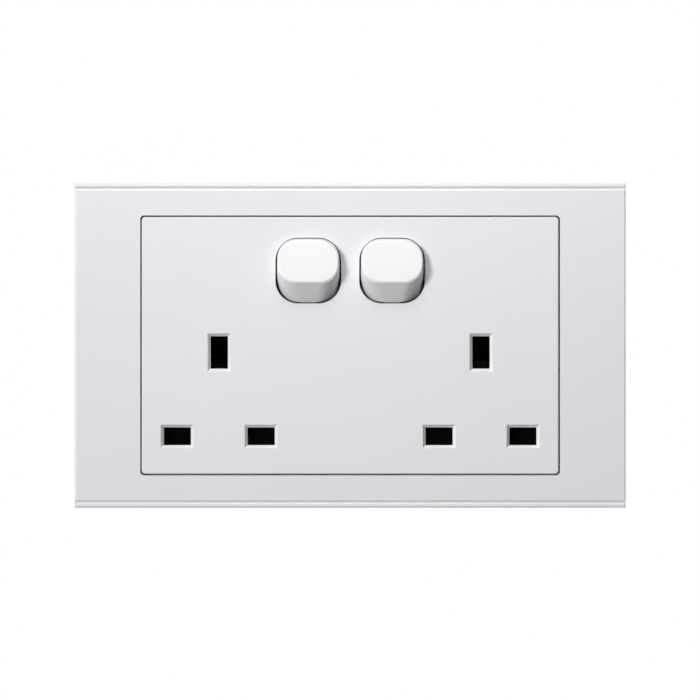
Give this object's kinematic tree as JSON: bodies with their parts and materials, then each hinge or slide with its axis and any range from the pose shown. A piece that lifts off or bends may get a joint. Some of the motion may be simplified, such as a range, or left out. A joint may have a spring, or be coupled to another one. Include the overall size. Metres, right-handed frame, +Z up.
{
  "type": "twin switched wall socket",
  "caption": "White twin switched wall socket with rectangular pin slots, tilting rocker switches, a clip-on frame, sprung shutters and rear wire terminals.",
  "frame": {"origin": "centre of the plate on the wall plane, midway between the two fixing slots", "axes": "+X right seen from the front, +Y into the wall, +Z up"},
  "size_m": [0.146, 0.0364, 0.086],
  "materials": {
    "white_plastic": "smooth satin gloss",
    "black_plastic": "matt moulded",
    "housing_plastic": "matt moulded",
    "zinc_steel": "zinc plated sheet",
    "brass": "pressed sheet and machined block",
    "contact_silver": "satin button",
    "spring_steel": "drawn wire",
    "screw_steel": "yellow passivated zinc"
  },
  "bodies": {
    "base": {"outer_frame": "white_plastic", "front_panel": "white_plastic", "shutter_retainer_left": "black_plastic", "shutter_retainer_right": "black_plastic", "rear_housing": "housing_plastic", "mounting_plate": "zinc_steel", "live_feed_bar": "brass", "neutral_bar": "brass", "earth_bar": "brass", "live_terminal": "brass", "neutral_terminal": "brass", "earth_terminal": "brass", "live_contact_left": "brass", "live_contact_right": "brass", "fixed_contact_left": "contact_silver", "fixed_contact_right": "contact_silver", "shutter_spring_left": "spring_steel", "shutter_spring_right": "spring_steel", "housing_screws": "screw_steel", "live_terminal_screw": "screw_steel", "neutral_terminal_screw": "screw_steel", "earth_terminal_screw": "screw_steel"},
    "switch_left": {"rocker_left": "white_plastic", "rocker_spring_left": "spring_steel"},
    "plunger_left": {"rocker_plunger_left": "black_plastic"},
    "contact_left": {"contact_bar_left": "brass", "moving_contact_left": "contact_silver"},
    "gate_left": {"shutter_left": "black_plastic"},
    "switch_right": {"rocker_right": "white_plastic", "rocker_spring_right": "spring_steel"},
    "plunger_right": {"rocker_plunger_right": "black_plastic"},
    "contact_right": {"contact_bar_right": "brass", "moving_contact_right": "contact_silver"},
    "gate_right": {"shutter_right": "black_plastic"}
  },
  "joints": [
    {"name": "rocker_left_tilt", "type": "hinge", "parent": "base", "child": "switch_left", "pos_m": [-0.0111, -0.0032, 0.01984], "axis": [1, 0, 0], "range_deg": [0, 30]},
    {"name": "contact_left_tilt", "type": "hinge", "parent": "base", "child": "contact_left", "pos_m": [-0.0111, 0.0082, 0.01984], "axis": [1, 0, 0], "range_deg": [-20, 0]},
    {"name": "plunger_left_slide", "type": "slide", "parent": "switch_left", "child": "plunger_left", "axis": [0, 0.9659, -0.2588], "range_m": [0, 0.0004], "stiffness_N_per_m": 300, "springref_m": 0.002, "deforming": ["rocker_spring_left"]},
    {"name": "shutter_left_slide", "type": "slide", "parent": "base", "child": "gate_left", "axis": [0, 0, 1], "range_m": [0, 0.0065], "stiffness_N_per_m": 60, "springref_m": -0.006, "deforming": ["shutter_spring_left"]},
    {"name": "rocker_right_tilt", "type": "hinge", "parent": "base", "child": "switch_right", "pos_m": [0.0111, -0.0032, 0.01984], "axis": [1, 0, 0], "range_deg": [0, 30]},
    {"name": "contact_right_tilt", "type": "hinge", "parent": "base", "child": "contact_right", "pos_m": [0.0111, 0.0082, 0.01984], "axis": [1, 0, 0], "range_deg": [-20, 0]},
    {"name": "plunger_right_slide", "type": "slide", "parent": "switch_right", "child": "plunger_right", "axis": [0, 0.9659, -0.2588], "range_m": [0, 0.0004], "stiffness_N_per_m": 300, "springref_m": 0.002, "deforming": ["rocker_spring_right"]},
    {"name": "shutter_right_slide", "type": "slide", "parent": "base", "child": "gate_right", "axis": [0, 0, 1], "range_m": [0, 0.0065], "stiffness_N_per_m": 60, "springref_m": -0.006, "deforming": ["shutter_spring_right"]}
  ],
  "couplings": [
    {"joint": "contact_left_tilt", "follows": "rocker_left_tilt", "ratio": -0.66666},
    {"joint": "contact_right_tilt", "follows": "rocker_right_tilt", "ratio": -0.66666}
  ]
}
